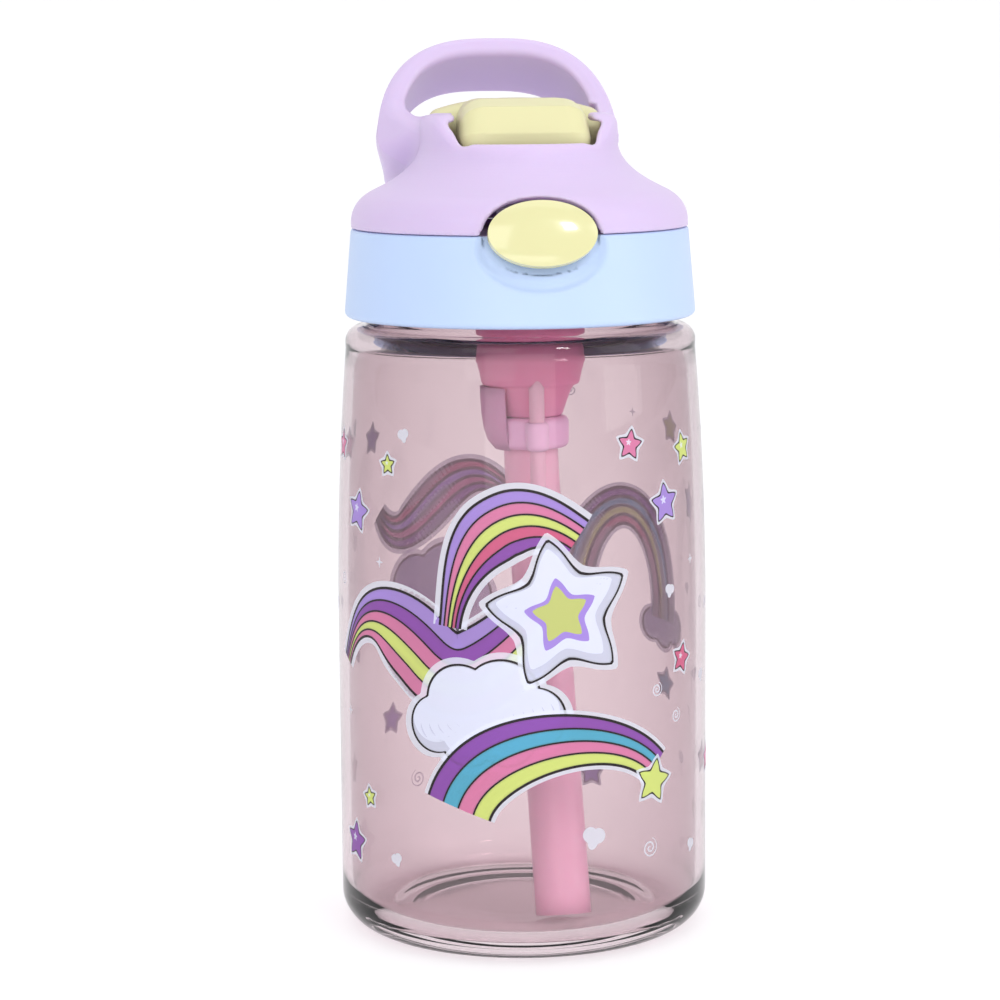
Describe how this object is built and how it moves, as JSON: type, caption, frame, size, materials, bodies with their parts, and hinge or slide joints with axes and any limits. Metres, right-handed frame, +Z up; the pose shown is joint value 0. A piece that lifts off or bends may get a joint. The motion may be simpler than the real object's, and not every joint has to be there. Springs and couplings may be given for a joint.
{
  "type": "kids water bottle",
  "caption": "Clear tinted drinking bottle with a screw lid, a push button that releases a flip-up straw spout, and a carrying loop.",
  "frame": {"origin": "centre of the base circle, on the surface the bottle stands on", "axes": "+Z up along the bottle, -Y to the front where the button is, +X to the bottle's left as seen from behind it, which is the right of a viewer who faces the button"},
  "size_m": [0.074, 0.074, 0.1768],
  "materials": {
    "clear_tub": "gloss",
    "blue_plastic": "satin",
    "lilac_plastic": "satin",
    "yellow_plastic": "gloss",
    "pink_silicone": "satin",
    "mauve_silicone": "satin",
    "pale_ring": "satin",
    "straw_plastic": "satin",
    "white_silicone": "satin",
    "steel": "satin"
  },
  "bodies": {
    "bottle": {"bottle_body": "clear_tub"},
    "gasket": {"lid_gasket": "white_silicone"},
    "lid": {"collar": "blue_plastic", "deck_plate": "lilac_plastic", "dome_cover": "lilac_plastic", "carry_handle": "lilac_plastic", "button_guide": "lilac_plastic", "valve_boot": "pink_silicone", "valve_sleeve": "mauve_silicone", "straw_ring": "pale_ring", "straw": "straw_plastic", "vent_tube": "straw_plastic", "spout_pin": "steel", "spout_spring": "steel", "vent_valve": "white_silicone", "button_spring": "steel"},
    "spout": {"spout_shield": "yellow_plastic", "spout_yoke": "yellow_plastic", "spout_mouthpiece": "pink_silicone"},
    "button": {"push_button": "yellow_plastic", "latch_slider": "lilac_plastic"}
  },
  "joints": [
    {"name": "lid_rise", "type": "slide", "parent": "bottle", "child": "gasket", "axis": [0, 0, 1], "range_m": [0, 0.00565]},
    {"name": "lid_turn", "type": "hinge", "parent": "gasket", "child": "lid", "pos_m": [0, 0, 0.13], "axis": [0, 0, 1], "range_deg": [0, 450]},
    {"name": "spout_flip", "type": "hinge", "parent": "lid", "child": "spout", "pos_m": [0, 0.0072, 0.157], "axis": [-1, 0, 0], "range_deg": [0, 80]},
    {"name": "button_press", "type": "slide", "parent": "lid", "child": "button", "axis": [0, 1, 0], "range_m": [0, 0.0016], "stiffness_N_per_m": 600, "deforming": ["button_spring"]}
  ],
  "couplings": [
    {"joint": "lid_rise", "follows": "lid_turn", "m_per_rad": 0.0007162}
  ]
}
